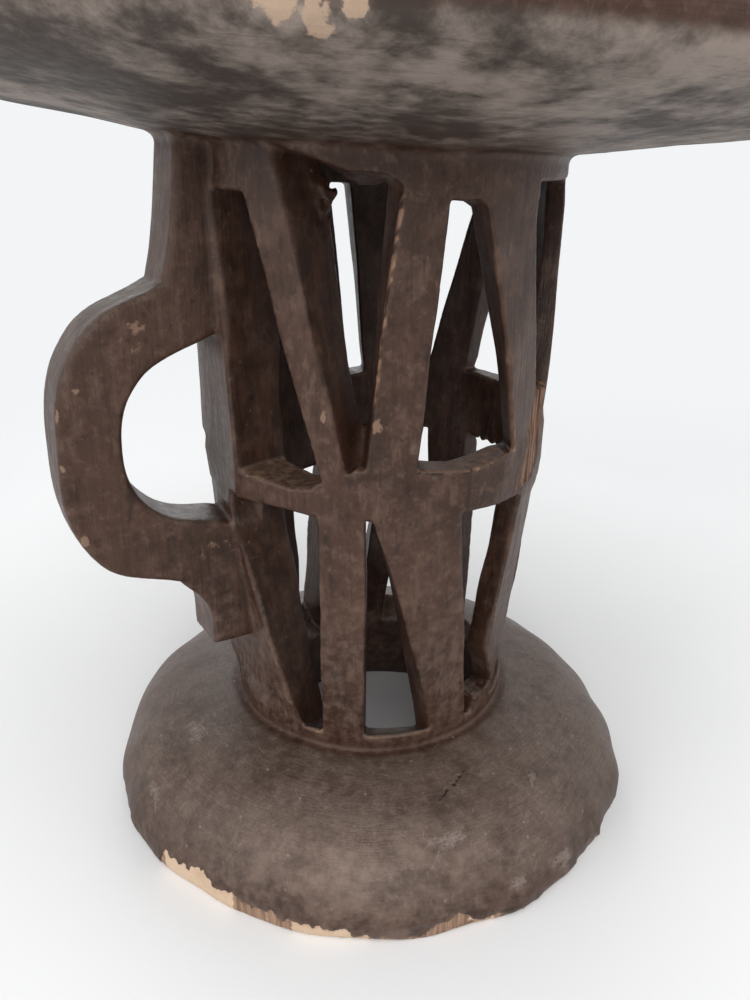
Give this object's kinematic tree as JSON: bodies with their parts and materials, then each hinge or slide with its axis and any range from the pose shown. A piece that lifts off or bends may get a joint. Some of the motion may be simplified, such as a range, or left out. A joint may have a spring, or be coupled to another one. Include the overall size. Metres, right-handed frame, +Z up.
{
  "type": "carved wooden stool",
  "caption": "Carved wooden stool with a dished round seat on a pierced hollow column of slanting struts, a side handle and a domed hollow base.",
  "frame": {"origin": "on the floor, under the middle of the column and of the seat's rim", "axes": "+Z up from the floor to the seat; the handle points to -X"},
  "size_m": [0.376, 0.3754, 0.3454],
  "materials": {
    "patinated_wood": "dark brown patina with a satin rub on the edges",
    "handled_wood": "dark red-brown, polished by hands",
    "smoked_wood": "blackened dark brown, satin, scratched"
  },
  "bodies": {
    "root": {"base_dome": "smoked_wood", "foot_ring": "smoked_wood", "front_web": "smoked_wood", "handle_bracket": "handled_wood", "handle_loop": "handled_wood", "handle_post_lower": "smoked_wood", "handle_post_upper": "patinated_wood", "handle_stem": "handled_wood", "lower_strut_1": "smoked_wood", "lower_strut_2": "smoked_wood", "lower_strut_3": "smoked_wood", "lower_strut_4": "smoked_wood", "lower_strut_5": "smoked_wood", "lower_strut_6": "smoked_wood", "lower_strut_7": "smoked_wood", "lower_strut_8": "smoked_wood", "middle_ring": "patinated_wood", "seat": "patinated_wood", "seat_collar": "patinated_wood", "upper_strut_1": "patinated_wood", "upper_strut_2": "patinated_wood", "upper_strut_3": "patinated_wood", "upper_strut_4": "patinated_wood", "upper_strut_5": "patinated_wood", "upper_strut_6": "patinated_wood", "upper_strut_7": "patinated_wood", "upper_strut_8": "patinated_wood", "upper_strut_9": "patinated_wood"}
  },
  "joints": []
}
